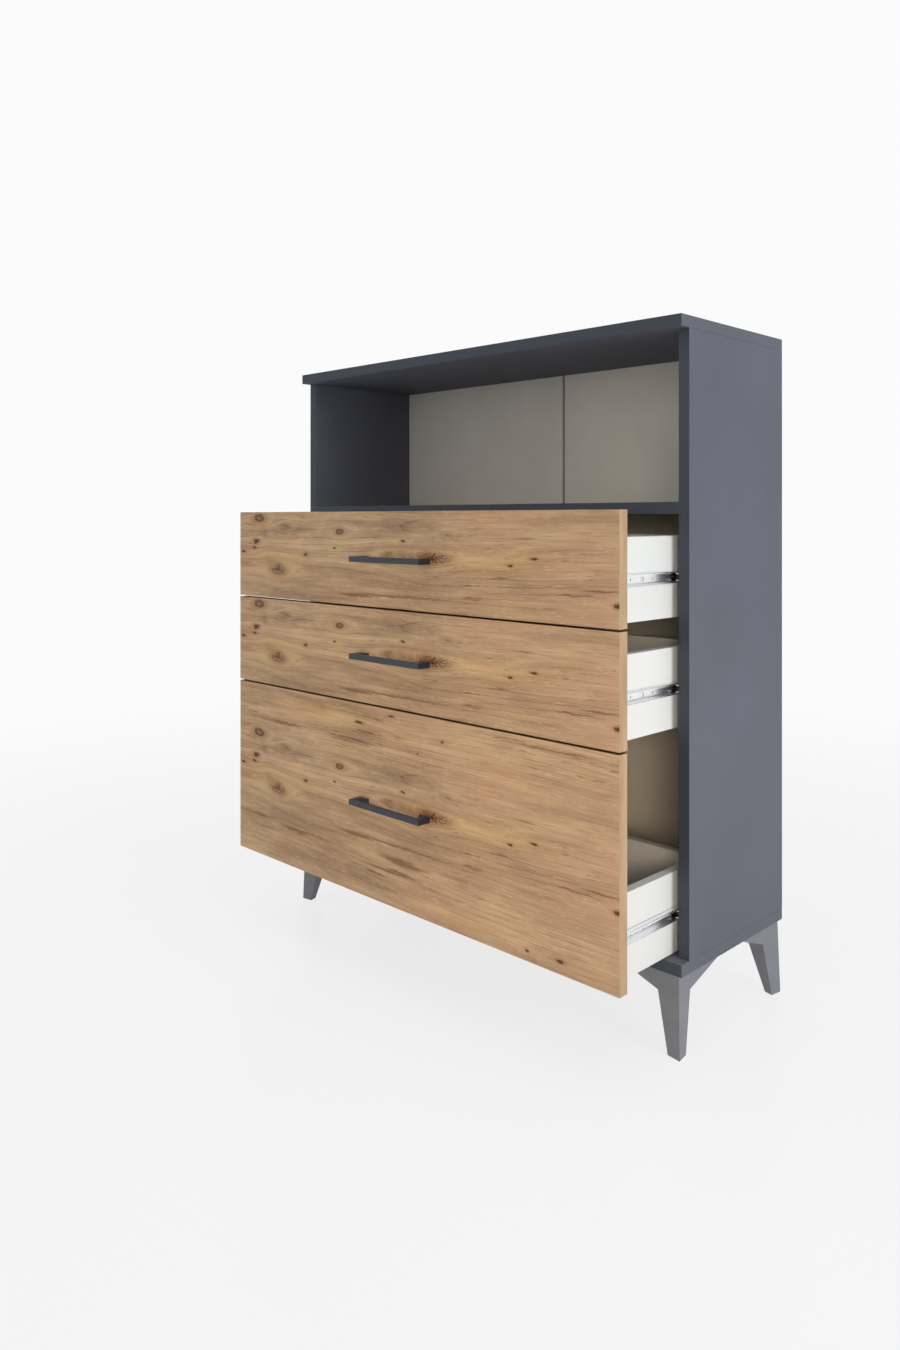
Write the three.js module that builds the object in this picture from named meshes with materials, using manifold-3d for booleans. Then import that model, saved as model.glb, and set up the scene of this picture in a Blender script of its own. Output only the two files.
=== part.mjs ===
import * as THREE from 'three';
import { mergeVertices } from 'three/addons/utils/BufferGeometryUtils.js';
import Module from 'manifold-3d';

// A chest of drawers: an open niche over three drawers, on four splayed corner legs.
// Millimetres, +X to the right, +Y to the back, +Z up. The drawers stand open.
// The working frame has X = 0 in the middle, Y = 0 at the side panels' front edge
// and Z = 0 on the floor. The finished chest is centred over its own footprint.

const wasm = await Module();
wasm.setup();

// Carcass
const cabinetWidth = 900;
const boardThickness = 18;
const sideDepth = 285;
const sideHeight = 921.3;
const panelOverhang = 21;
const nicheHeight = 253.2;

// Back of two thin boards, let into grooves and joined by a plastic strip
const backThickness = 3;
const backRecess = 20.5;
const grooveDepth = 8;
const grooveClearance = 0.2;
const backJointOffset = 9;
const stripWeb = 1.2;
const stripFlange = 0.8;
const stripFrontWidth = 4.5;
const stripRearWidth = 10;

// Dowels, glued into one board and pushed into the next
const dowelDiameter = 8;
const dowelProud = 11;
const dowelClearance = 0.3;
const dowelDepthShares = [0.16, 0.84];
const dowelHeightShares = [0.26, 0.8];
const dowelSides = 10;

// Corner legs, moulded, with a screw flange under the bottom panel
const legHeight = 121.2;
const legSideInset = 3.1;
const legSplay = 3.4;
const legTurn = THREE.MathUtils.degToRad(9);
const footWidth = 22.6;
const footInnerShare = 0.8;
const kneeWidth = 40.7;
const kneeInnerShare = 0.856;
const kneeDrop = 33.5;
const innerKneeDrop = 41;
const wingLength = 127.2;
const legPlateThickness = 3;
const legFlangeWidth = 18;
const legScrewHole = 4.5;
const legScrewShares = [0.14, 0.38, 0.62, 0.86];
const legHoleSides = 12;

// Drawer fronts, laid over the sides' front edges
const frontReveal = 1;
const frontGap = 3;
const lowestFrontLift = 3.2;
const shelfEdgeShown = 12.35;
const smallFrontHeight = 161;
const restOpening = 150.6;

// Drawer boxes
const drawerBoard = 15;
const drawerSideHeight = 120;
const drawerRearClearance = 13;
const smallBoxLift = 3;
const deepBoxLift = -1.2;
const bottomThickness = 3;
const bottomGrooveHeight = 10;
const bottomGrooveDepth = 6;

// Ball slides on the drawers' sides
const slideSpace = 11.5;
const slideFrontMargin = 2;
const slideRearMargin = 2.5;
const railSetback = 2;
const channelHeight = 17;
const channelPanelGap = 1.9;
const slideSteel = 1;
const ballDiameter = 2.05;
const raceClearance = 0.1;
const raceSteps = 4;
const cageSteel = 0.5;
const cageClearance = 0.3;
const cageEndPlay = 1;
const cageHold = 0.4;
const stopSetback = 4;
const stopHeight = 6;
const stopCatch = 1.5;
const openingShare = 0.75;
const ballCount = 5;
const ballSides = 8;
const ballRows = 4;
const slotSides = 5;
const slideScrewHole = 4.2;
const channelHoles = [
  { share: 0.06, width: slideScrewHole, length: slideScrewHole },
  { share: 0.176, width: slideScrewHole, length: slideScrewHole },
  { share: 0.288, width: 7, length: 11 },
  { share: 0.386, width: 3.5, length: 9 },
  { share: 0.9, width: slideScrewHole, length: slideScrewHole },
];
const railHoles = [
  { share: 0.14, width: slideScrewHole, length: slideScrewHole },
  { share: 0.52, width: 3.5, length: 9 },
  { share: 0.94, width: slideScrewHole, length: slideScrewHole },
];

// Bar handles and the screws that hold them
const handleHoleSpacing = 160;
const handleEndMargin = 5.5;
const handleHeight = 9.5;
const handleProjection = 26;
const handleBarDepth = 7;
const handleFootLength = 23;
const handleNeckLength = 10;
const screwDiameter = 4;
const screwHeadDiameter = 8;
const screwHeadHeight = 2.4;
const screwHeadCrown = 0.8;
const screwGrip = 9;
const screwTipChamfer = 0.6;
const screwHoleDiameter = 5;
const threadClearance = 0.3;
const screwSides = 12;

// One overrun for every cutter that passes through a face
const cutOverrun = 2;
const weldTolerance = 1e-4;

// Places in the working frame that follow from the sizes above
const halfWidth = cabinetWidth / 2;
const innerHalf = halfWidth - boardThickness;
const bottomPanelTop = legHeight + boardThickness;
const topPanelUnderside = bottomPanelTop + sideHeight;
const shelfTop = topPanelUnderside - nicheHeight;
const shelfUnderside = shelfTop - boardThickness;
const backFront = sideDepth - backRecess;
const backRear = backFront + backThickness;
const grooveFront = backFront - grooveClearance;
const grooveRear = backRear + grooveClearance;
const tongue = grooveDepth - grooveClearance;
const stripFront = backFront - grooveClearance - stripFlange;

const lowestFrontBottom = bottomPanelTop + lowestFrontLift;
const frontsHeight = shelfTop - shelfEdgeShown - lowestFrontBottom - 2 * frontGap;
const deepFrontHeight = frontsHeight - 2 * smallFrontHeight;
const frontWidth = cabinetWidth - 2 * frontReveal;
const closedFrontRear = boardThickness - panelOverhang;
const drawerDepth = backFront - closedFrontRear - drawerRearClearance;
const boxHalf = innerHalf - slideSpace;
const boxInnerHalf = boxHalf - drawerBoard;
const boxSideMiddle = (boxHalf + boxInnerHalf) / 2;
const drawerBackFront = drawerDepth - drawerBoard;
const drawerBackMiddle = (drawerBackFront + drawerDepth) / 2;

const slideLength = drawerDepth - slideFrontMargin - slideRearMargin;
const fullOpening = openingShare * slideLength;
const raceRadius = ballDiameter / 2 + raceClearance;
const channelHalf = channelHeight / 2;
const ballHeight = channelHalf - slideSteel - raceRadius;
const railHalf = ballHeight - raceRadius;
const ballReach = slideSpace - channelPanelGap - raceRadius - slideSteel;
const railHookReach = ballReach - raceRadius - slideSteel;
const channelFront = closedFrontRear + slideFrontMargin;
const cageCentreClosed = (railSetback + channelFront + slideLength) / 2;
const cageWeb = railHookReach - cageClearance;
const cageEndSpace = stopSetback + slideSteel + cageEndPlay;
const fullyOpenOverlap = channelFront + slideLength - fullOpening - railSetback;
const cageLength = fullyOpenOverlap - 2 * cageEndSpace;

const handleLength = handleHoleSpacing + 2 * handleEndMargin;

const frontmost = -panelOverhang - restOpening - handleProjection;
const centreDepth = (frontmost + sideDepth) / 2;

// Materials
function finish(colour, roughness, metalness) {
  return new THREE.MeshStandardMaterial({ color: colour, roughness, metalness });
}

const paint = {
  carcass: () => finish(0x50545f, 0.55, 0),
  oak: () => finish(0xb08d67, 0.6, 0),
  white: () => finish(0xeeeeea, 0.45, 0),
  back: () => finish(0x8d887e, 0.6, 0),
  strip: () => finish(0x6f6b63, 0.5, 0),
  leg: () => finish(0x6a6c74, 0.5, 0),
  handle: () => finish(0x4b525c, 0.4, 0.6),
  steel: () => finish(0xc9ccd0, 0.3, 0.9),
  cage: () => finish(0x3c3e41, 0.4, 0.8),
  screw: () => finish(0xb9bcc0, 0.35, 0.9),
};

// Solids from geometries, and back
function toSolid(geometry) {
  const bare = geometry.index ? geometry.toNonIndexed() : geometry.clone();
  bare.deleteAttribute('normal');
  bare.deleteAttribute('uv');
  const welded = mergeVertices(bare, weldTolerance);
  const mesh = new wasm.Mesh({
    numProp: 3,
    vertProperties: welded.attributes.position.array,
    triVerts: new Uint32Array(welded.index.array),
  });
  return new wasm.Manifold(mesh);
}

function toGeometry(solid) {
  const { vertProperties, triVerts } = solid.getMesh();
  const indexed = new THREE.BufferGeometry();
  indexed.setAttribute('position', new THREE.BufferAttribute(vertProperties, 3));
  indexed.setIndex(new THREE.BufferAttribute(triVerts, 1));
  const geometry = indexed.toNonIndexed();
  geometry.computeVertexNormals();
  return geometry;
}

function cut(geometry, cutters) {
  const start = toSolid(geometry);
  return toGeometry(cutters.reduce((solid, cutter) => solid.subtract(toSolid(cutter)), start));
}

function join(geometry, additions) {
  const start = toSolid(geometry);
  return toGeometry(additions.reduce((solid, piece) => solid.add(toSolid(piece)), start));
}

// A block between two places on each axis
function block([x0, x1], [y0, y1], [z0, z1]) {
  const geometry = new THREE.BoxGeometry(x1 - x0, y1 - y0, z1 - z0);
  return geometry.translate((x0 + x1) / 2, (y0 + y1) / 2, (z0 + z1) / 2);
}

function outline(points) {
  return new THREE.Shape(points.map(([x, y]) => new THREE.Vector2(x, y)));
}

function extrudeUp(points, height) {
  return new THREE.ExtrudeGeometry(outline(points), { depth: height, bevelEnabled: false });
}

// A profile of X and Z places, run along +Y
function extrudeBack(points, length) {
  const geometry = extrudeUp(points, length);
  return geometry.rotateX(Math.PI / 2).translate(0, length, 0);
}

// A profile of Y and Z places, run along +X
function extrudeRight(points, length) {
  return extrudeUp(points, length).rotateX(Math.PI / 2).rotateZ(Math.PI / 2);
}

// Round rods, centred on their own middle
function rodAlongX(diameter, length, sides) {
  const radius = diameter / 2;
  return new THREE.CylinderGeometry(radius, radius, length, sides).rotateZ(Math.PI / 2);
}

function rodAlongY(diameter, length, sides) {
  const radius = diameter / 2;
  return new THREE.CylinderGeometry(radius, radius, length, sides);
}

function rodAlongZ(diameter, length, sides) {
  return rodAlongY(diameter, length, sides).rotateX(Math.PI / 2);
}

function arc(centre, radius, from, to, steps) {
  const points = [];
  for (let step = 0; step <= steps; step += 1) {
    const angle = from + ((to - from) * step) / steps;
    points.push([centre[0] + radius * Math.cos(angle), centre[1] + radius * Math.sin(angle)]);
  }
  return points;
}

// A piece is drawn in its group's frame, and its mesh sits at the middle of its box.
function piece(name, geometry, material) {
  geometry.computeBoundingBox();
  const middle = geometry.boundingBox.getCenter(new THREE.Vector3());
  geometry.translate(-middle.x, -middle.y, -middle.z);
  const mesh = new THREE.Mesh(geometry, material);
  mesh.name = name;
  mesh.position.copy(middle);
  return mesh;
}

// Carcass boards
const dowelPlaces = dowelDepthShares.map((share) => share * sideDepth);
const dowelHole = dowelDiameter + 2 * dowelClearance;
const dowelHoleDepth = dowelProud + dowelClearance;

function uprightDowels(x, z) {
  return dowelPlaces.map((y) =>
    rodAlongZ(dowelDiameter, 2 * dowelProud, dowelSides).translate(x, y, z));
}

function uprightDowelHoles(x, z) {
  return dowelPlaces.map((y) =>
    rodAlongZ(dowelHole, 2 * dowelHoleDepth, dowelSides).translate(x, y, z));
}

// side is -1 on the left and 1 on the right
function sidePanel(side) {
  const inner = side * innerHalf;
  const grooveFloor = side * (innerHalf + grooveDepth);
  const profile = [
    [side * halfWidth, 0],
    [inner, 0],
    [inner, grooveFront],
    [grooveFloor, grooveFront],
    [grooveFloor, grooveRear],
    [inner, grooveRear],
    [inner, sideDepth],
    [side * halfWidth, sideDepth],
  ];
  const board = extrudeUp(profile, sideHeight).translate(0, 0, bottomPanelTop);
  const middle = side * (halfWidth - boardThickness / 2);
  const shelfMiddle = shelfTop - boardThickness / 2;
  const shelfHoles = dowelPlaces.map((y) =>
    rodAlongX(dowelHole, 2 * dowelHoleDepth, dowelSides).translate(inner, y, shelfMiddle));
  const dowels = [
    ...uprightDowels(middle, bottomPanelTop),
    ...uprightDowels(middle, topPanelUnderside),
  ];
  return join(cut(board, shelfHoles), dowels);
}

// The top and bottom panels lie over the sides' ends and reach past them at the front.
function endPanel(underside, joinedFace) {
  const board = block(
    [-halfWidth, halfWidth],
    [-panelOverhang, sideDepth],
    [underside, underside + boardThickness],
  );
  const groove = block(
    [-innerHalf - grooveDepth, innerHalf + grooveDepth],
    [grooveFront, grooveRear],
    [joinedFace - grooveDepth, joinedFace + grooveDepth],
  );
  const middle = halfWidth - boardThickness / 2;
  const holes = [-middle, middle].flatMap((x) => uprightDowelHoles(x, joinedFace));
  return cut(board, [groove, ...holes]);
}

function nicheShelf() {
  const board = block(
    [-innerHalf, innerHalf],
    [0, grooveFront],
    [shelfUnderside, shelfTop],
  );
  const notchHalf = stripFrontWidth / 2 + grooveClearance;
  const notch = block(
    [backJointOffset - notchHalf, backJointOffset + notchHalf],
    [stripFront - grooveClearance, backFront],
    [shelfUnderside - cutOverrun, shelfTop + cutOverrun],
  );
  const shelfMiddle = shelfTop - boardThickness / 2;
  const dowels = [-innerHalf, innerHalf].flatMap((x) =>
    dowelPlaces.map((y) =>
      rodAlongX(dowelDiameter, 2 * dowelProud, dowelSides).translate(x, y, shelfMiddle)));
  return join(cut(board, [notch]), dowels);
}

function backBoard(x0, x1) {
  return block(
    [x0, x1],
    [backFront, backRear],
    [bottomPanelTop - tongue, topPanelUnderside + tongue],
  );
}

// The strip is an H: a narrow flange shows in front, a wide one holds from behind.
function backJointStrip() {
  const frontFlangeRear = backFront - grooveClearance;
  const rearFlangeFront = backRear + grooveClearance;
  const half = [
    [stripFrontWidth / 2, stripFront],
    [stripFrontWidth / 2, frontFlangeRear],
    [stripWeb / 2, frontFlangeRear],
    [stripWeb / 2, rearFlangeFront],
    [stripRearWidth / 2, rearFlangeFront],
    [stripRearWidth / 2, rearFlangeFront + stripFlange],
  ];
  const otherHalf = half.map(([x, y]) => [-x, y]).reverse();
  return extrudeUp([...half, ...otherHalf], sideHeight - 2 * grooveClearance)
    .translate(backJointOffset, 0, bottomPanelTop + grooveClearance);
}

function carcass() {
  const group = new THREE.Group();
  const jointEdge = stripWeb / 2 + grooveClearance;
  group.add(
    piece('top_panel', endPanel(topPanelUnderside, topPanelUnderside), paint.carcass()),
    piece('bottom_panel', endPanel(legHeight, bottomPanelTop), paint.carcass()),
    piece('left_side_panel', sidePanel(-1), paint.carcass()),
    piece('right_side_panel', sidePanel(1), paint.carcass()),
    piece('niche_shelf', nicheShelf(), paint.carcass()),
    piece(
      'back_panel_left',
      backBoard(-innerHalf - tongue, backJointOffset - jointEdge),
      paint.back(),
    ),
    piece(
      'back_panel_right',
      backBoard(backJointOffset + jointEdge, innerHalf + tongue),
      paint.back(),
    ),
    piece('back_joint_strip', backJointStrip(), paint.strip()),
  );
  return group;
}

// Legs. In a leg's own frame the foot's outer corner stands on the Z axis, +X and +Y
// run inward along the cabinet's two edges, and Z = 0 is the bottom panel's underside.
function facetedSolid(corners, faces) {
  const positions = [];
  for (const face of faces) {
    for (let i = 1; i < face.length - 1; i += 1) {
      for (const name of [face[0], face[i], face[i + 1]]) {
        positions.push(...corners[name]);
      }
    }
  }
  const geometry = new THREE.BufferGeometry();
  geometry.setAttribute('position', new THREE.Float32BufferAttribute(positions, 3));
  return geometry;
}

// The leg is a kite in section: its two outer sides turn in from the cabinet's edges.
// It widens from the foot to the knee, and a wing rises from the knee on each side.
function legBody() {
  const cornerAt = (drop) => legSplay * (1 - drop / legHeight);
  const turned = (width, drop) => [
    cornerAt(drop) + width * Math.sin(legTurn),
    cornerAt(drop) + width * Math.cos(legTurn),
  ];
  const [footNear, footFar] = turned(footWidth, legHeight);
  const [kneeNear, kneeFar] = turned(kneeWidth, kneeDrop);
  const footInner = footInnerShare * footWidth;
  const kneeInner = cornerAt(innerKneeDrop) + kneeInnerShare * kneeWidth;
  const corners = {
    top: [legSplay, legSplay, 0],
    wingA: [legSplay, wingLength, 0],
    wingB: [wingLength, legSplay, 0],
    kneeA: [kneeNear, kneeFar, -kneeDrop],
    kneeB: [kneeFar, kneeNear, -kneeDrop],
    kneeIn: [kneeInner, kneeInner, -innerKneeDrop],
    foot: [0, 0, -legHeight],
    footA: [footNear, footFar, -legHeight],
    footB: [footFar, footNear, -legHeight],
    footIn: [footInner, footInner, -legHeight],
  };
  return facetedSolid(corners, [
    ['top', 'kneeA', 'footA', 'foot'],
    ['top', 'wingA', 'kneeA'],
    ['kneeA', 'kneeIn', 'footIn', 'footA'],
    ['kneeA', 'wingA', 'kneeIn'],
    ['top', 'foot', 'footB', 'kneeB'],
    ['top', 'kneeB', 'wingB'],
    ['kneeB', 'footB', 'footIn', 'kneeIn'],
    ['kneeB', 'kneeIn', 'wingB'],
    ['kneeIn', 'wingA', 'wingB'],
    ['wingB', 'wingA', 'top'],
    ['foot', 'footA', 'footIn', 'footB'],
  ]);
}

function legPlate() {
  const flangeEnd = legSplay + legFlangeWidth;
  const plate = extrudeUp(
    [
      [legSplay, legSplay],
      [wingLength, legSplay],
      [wingLength, flangeEnd],
      [flangeEnd, wingLength],
      [legSplay, wingLength],
    ],
    legPlateThickness,
  ).translate(0, 0, -legPlateThickness);
  const flangeMiddle = legSplay + legFlangeWidth / 2;
  const run = wingLength - flangeMiddle;
  const holes = legScrewShares.map((share) =>
    rodAlongZ(legScrewHole, 2 * (legPlateThickness + cutOverrun), legHoleSides)
      .translate(flangeMiddle + share * run, wingLength - share * run, 0));
  return cut(plate, holes);
}

function leg(name) {
  return piece(name, join(legPlate(), [legBody()]), paint.leg());
}

function legs() {
  const group = new THREE.Group();
  const x = halfWidth - legSideInset;
  const corners = [
    { name: 'leg_front_left', x: -x, y: -panelOverhang, quarterTurns: 0 },
    { name: 'leg_front_right', x, y: -panelOverhang, quarterTurns: 1 },
    { name: 'leg_back_right', x, y: sideDepth, quarterTurns: 2 },
    { name: 'leg_back_left', x: -x, y: sideDepth, quarterTurns: 3 },
  ];
  for (const corner of corners) {
    const mount = new THREE.Group();
    mount.position.set(corner.x, corner.y, legHeight);
    mount.rotation.z = (corner.quarterTurns * Math.PI) / 2;
    mount.add(leg(corner.name));
    group.add(mount);
  }
  return group;
}

// Slides. In a slide's own frame X = 0 is the drawer side's outer face, +X runs to
// the side panel and Z = 0 is the slide's middle height. A flange of each profile
// ends in a quarter-round hook, and the balls run between the two hooks.
function mirrored(upperHalf) {
  const lowerHalf = upperHalf.map(([x, z]) => [x, -z]).reverse();
  return [...upperHalf, ...lowerHalf];
}

function channelProfile() {
  const ball = [ballReach, ballHeight];
  return mirrored([
    [slideSteel, channelHalf - slideSteel],
    ...arc(ball, raceRadius, Math.PI / 2, 0, raceSteps),
    ...arc(ball, raceRadius + slideSteel, 0, Math.PI / 2, raceSteps),
    [0, channelHalf],
  ]);
}

function railProfile() {
  const ball = [ballReach, ballHeight];
  return mirrored([
    [slideSpace - slideSteel, railHalf - slideSteel],
    ...arc(ball, raceRadius + slideSteel, -Math.PI / 2, -Math.PI, raceSteps),
    ...arc(ball, raceRadius, -Math.PI, -Math.PI / 2, raceSteps),
    [slideSpace, railHalf],
  ]);
}

// A slot across a sheet that faces X, with round ends in front and behind
function slotCutter({ share, width, length }, x) {
  const radius = width / 2;
  const run = length / 2 - radius;
  const points = [
    ...arc([run, 0], radius, -Math.PI / 2, Math.PI / 2, slotSides),
    ...arc([-run, 0], radius, Math.PI / 2, (3 * Math.PI) / 2, slotSides),
  ];
  const depth = slideSteel + cutOverrun;
  return extrudeRight(points, depth).translate(x - depth / 2, share * slideLength, 0);
}

// A tab that stands out from a profile's web and meets the end of the cage
function endStop([x0, x1], front) {
  return block([x0, x1], [front, front + slideSteel], [-stopHeight / 2, stopHeight / 2]);
}

// At the widest opening the cage ends up between the channel's stop and the rail's.
function drawerChannel(name) {
  const cutters = channelHoles.map((hole) => slotCutter(hole, slideSteel / 2));
  const profile = cut(extrudeBack(channelProfile(), slideLength), cutters);
  const stop = endStop([0, cageWeb + stopCatch], slideLength - stopSetback - slideSteel);
  return piece(name, join(profile, [stop]), paint.steel());
}

function cabinetRail(name) {
  const cutters = railHoles.map((hole) => slotCutter(hole, slideSpace - slideSteel / 2));
  const profile = cut(extrudeBack(railProfile(), slideLength), cutters);
  const stop = endStop([cageWeb - cageSteel - stopCatch, slideSpace], stopSetback);
  return piece(name, join(profile, [stop]), paint.steel());
}

// The cage is a thin channel that passes over the rail's hooks and holds both rows.
function ballCage(name) {
  const outer = channelHalf - slideSteel - cageClearance;
  const inner = outer - cageSteel;
  const strip = mirrored([
    [cageWeb, inner],
    [ballReach - cageHold, inner],
    [ballReach - cageHold, outer],
    [cageWeb - cageSteel, outer],
  ]);
  const pitch = cageLength / ballCount;
  const balls = [];
  for (let i = 0; i < ballCount; i += 1) {
    for (const height of [-ballHeight, ballHeight]) {
      const ball = new THREE.SphereGeometry(ballDiameter / 2, ballSides, ballRows);
      balls.push(ball.translate(ballReach, (i + 1 / 2) * pitch, height));
    }
  }
  return piece(name, join(extrudeBack(strip, cageLength), balls), paint.cage());
}

// The left slide is the right one turned half round the line that it runs along.
function slideFrame(side) {
  const frame = new THREE.Group();
  frame.position.x = side * boxHalf;
  frame.rotation.y = side < 0 ? Math.PI : 0;
  return frame;
}

// Drawers. In a drawer's own frame Y = 0 is the front board's rear face and Z = 0
// is the front board's lower edge.
const drawers = [
  { name: 'top', height: smallFrontHeight, boxLift: smallBoxLift },
  { name: 'middle', height: smallFrontHeight, boxLift: smallBoxLift },
  { name: 'bottom', height: deepFrontHeight, boxLift: deepBoxLift },
];

let frontBottom = lowestFrontBottom;
for (const drawer of [...drawers].reverse()) {
  drawer.bottom = frontBottom;
  frontBottom += drawer.height + frontGap;
}

const handleHoles = [-handleHoleSpacing / 2, handleHoleSpacing / 2];
const bottomTongue = bottomGrooveDepth - grooveClearance;

function bottomGrooveSpan(boxLift) {
  const low = boxLift + bottomGrooveHeight;
  return [low - grooveClearance, low + bottomThickness + grooveClearance];
}

// Two dowels stand over each other in each corner of a drawer box.
function cornerHeights(boxLift) {
  return dowelHeightShares.map((share) => boxLift + share * drawerSideHeight);
}

function drawerFront({ height, boxLift }) {
  const half = frontWidth / 2;
  const board = block([-half, half], [-boardThickness, 0], [0, height]);
  const grooveHalf = boxInnerHalf + bottomGrooveDepth;
  const groove = block(
    [-grooveHalf, grooveHalf],
    [-bottomGrooveDepth, cutOverrun],
    bottomGrooveSpan(boxLift),
  );
  const screwHoles = handleHoles.map((x) =>
    rodAlongY(screwHoleDiameter, 2 * (boardThickness + cutOverrun), screwSides)
      .translate(x, 0, height / 2));
  const dowelHoles = [-boxSideMiddle, boxSideMiddle].flatMap((x) =>
    cornerHeights(boxLift).map((z) =>
      rodAlongY(dowelHole, 2 * dowelHoleDepth, dowelSides).translate(x, 0, z)));
  return cut(board, [groove, ...screwHoles, ...dowelHoles]);
}

function drawerSide({ boxLift }, side) {
  const outer = side * boxHalf;
  const inner = side * boxInnerHalf;
  const grooveFloor = side * (boxInnerHalf + bottomGrooveDepth);
  const [grooveLow, grooveHigh] = bottomGrooveSpan(boxLift);
  const profile = [
    [outer, boxLift],
    [inner, boxLift],
    [inner, grooveLow],
    [grooveFloor, grooveLow],
    [grooveFloor, grooveHigh],
    [inner, grooveHigh],
    [inner, boxLift + drawerSideHeight],
    [outer, boxLift + drawerSideHeight],
  ];
  const heights = cornerHeights(boxLift);
  const backHoles = heights.map((z) =>
    rodAlongX(dowelHole, 2 * dowelHoleDepth, dowelSides).translate(inner, drawerBackMiddle, z));
  const frontDowels = heights.map((z) =>
    rodAlongY(dowelDiameter, 2 * dowelProud, dowelSides).translate(side * boxSideMiddle, 0, z));
  return join(cut(extrudeBack(profile, drawerDepth), backHoles), frontDowels);
}

function drawerBack({ boxLift }) {
  const grooveFloor = drawerBackFront + bottomGrooveDepth;
  const [grooveLow, grooveHigh] = bottomGrooveSpan(boxLift);
  const profile = [
    [drawerBackFront, boxLift],
    [drawerDepth, boxLift],
    [drawerDepth, boxLift + drawerSideHeight],
    [drawerBackFront, boxLift + drawerSideHeight],
    [drawerBackFront, grooveHigh],
    [grooveFloor, grooveHigh],
    [grooveFloor, grooveLow],
    [drawerBackFront, grooveLow],
  ];
  const board = extrudeRight(profile, 2 * boxInnerHalf).translate(-boxInnerHalf, 0, 0);
  const dowels = [-boxInnerHalf, boxInnerHalf].flatMap((x) =>
    cornerHeights(boxLift).map((z) =>
      rodAlongX(dowelDiameter, 2 * dowelProud, dowelSides).translate(x, drawerBackMiddle, z)));
  return join(board, dowels);
}

function drawerBottom({ boxLift }) {
  const low = boxLift + bottomGrooveHeight;
  const half = boxInnerHalf + bottomTongue;
  return block(
    [-half, half],
    [-bottomTongue, drawerBackFront + bottomTongue],
    [low, low + bottomThickness],
  );
}

// The handle is one bar, bent to two feet that taper towards the bar.
function handle({ height }) {
  const half = handleLength / 2;
  const barBack = handleBarDepth - handleProjection;
  const right = [
    [half, -handleProjection],
    [half, 0],
    [half - handleFootLength, 0],
    [half - handleNeckLength, barBack],
  ];
  const left = right.map(([x, y]) => [-x, y]).reverse();
  const bar = extrudeUp([...right, ...left], handleHeight)
    .translate(0, -boardThickness, (height - handleHeight) / 2);
  const threadHole = screwDiameter + 2 * threadClearance;
  const threads = handleHoles.map((x) =>
    rodAlongY(threadHole, 2 * (screwGrip + threadClearance), screwSides)
      .translate(x, -boardThickness, height / 2));
  return cut(bar, threads);
}

function handleScrew({ height }, x) {
  const radius = screwDiameter / 2;
  const headRadius = screwHeadDiameter / 2;
  const tip = boardThickness + screwGrip;
  const profile = [
    [0, -tip],
    [radius - screwTipChamfer, -tip],
    [radius, screwTipChamfer - tip],
    [radius, 0],
    [headRadius, 0],
    [headRadius, screwHeadHeight - screwHeadCrown],
    [headRadius - screwHeadCrown, screwHeadHeight],
    [0, screwHeadHeight],
  ];
  const points = profile.map(([r, y]) => new THREE.Vector2(r, y));
  return new THREE.LatheGeometry(points, screwSides).translate(x, 0, height / 2);
}

function drawerBox(drawer) {
  const group = new THREE.Group();
  const name = `${drawer.name}_drawer`;
  group.position.set(0, closedFrontRear - restOpening, drawer.bottom);
  group.add(
    piece(`${name}_front`, drawerFront(drawer), paint.oak()),
    piece(`${name}_left_side`, drawerSide(drawer, -1), paint.white()),
    piece(`${name}_right_side`, drawerSide(drawer, 1), paint.white()),
    piece(`${name}_back`, drawerBack(drawer), paint.white()),
    piece(`${name}_bottom`, drawerBottom(drawer), paint.white()),
    piece(`${name}_handle`, handle(drawer), paint.handle()),
    piece(`${name}_screw_left`, handleScrew(drawer, handleHoles[0]), paint.screw()),
    piece(`${name}_screw_right`, handleScrew(drawer, handleHoles[1]), paint.screw()),
  );
  for (const [sideName, side] of [['left', -1], ['right', 1]]) {
    const frame = slideFrame(side);
    frame.position.y = slideFrontMargin;
    frame.position.z = drawer.boxLift + drawerSideHeight / 2;
    frame.add(drawerChannel(`${name}_${sideName}_channel`));
    group.add(frame);
  }
  return group;
}

// The rails stay with the carcass, and a cage travels half as far as its drawer.
function slideRails(drawer) {
  const group = new THREE.Group();
  const middle = drawer.bottom + drawer.boxLift + drawerSideHeight / 2;
  const cageCentre = cageCentreClosed - restOpening / 2;
  for (const [sideName, side] of [['left', -1], ['right', 1]]) {
    const railFrame = slideFrame(side);
    railFrame.position.y = railSetback;
    railFrame.position.z = middle;
    railFrame.add(cabinetRail(`${drawer.name}_${sideName}_rail`));
    const cageFrame = slideFrame(side);
    cageFrame.position.y = cageCentre - cageLength / 2;
    cageFrame.position.z = middle;
    cageFrame.add(ballCage(`${drawer.name}_${sideName}_ball_cage`));
    group.add(railFrame, cageFrame);
  }
  return group;
}

const chest = new THREE.Group();
chest.add(carcass(), legs());
for (const drawer of drawers) {
  chest.add(drawerBox(drawer), slideRails(drawer));
}
chest.position.y = -centreDepth;

const part = new THREE.Group();
part.add(chest);

export default part;
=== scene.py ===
# %% [markdown]
# # A chest of drawers with an open niche
# The solids come ready made, at their true size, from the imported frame. This lesson dresses them:
# it sets the camera where the photographer stood, builds a soft studio, mixes the finishes as node
# materials, softens the board edges and drives in the small screws. All lengths are in metres.
# The frame is loaded first, because every later step asks it where the boards are.

# %% Load the frame
import math

import bmesh
import bpy
from mathutils import Matrix, Vector


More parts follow.
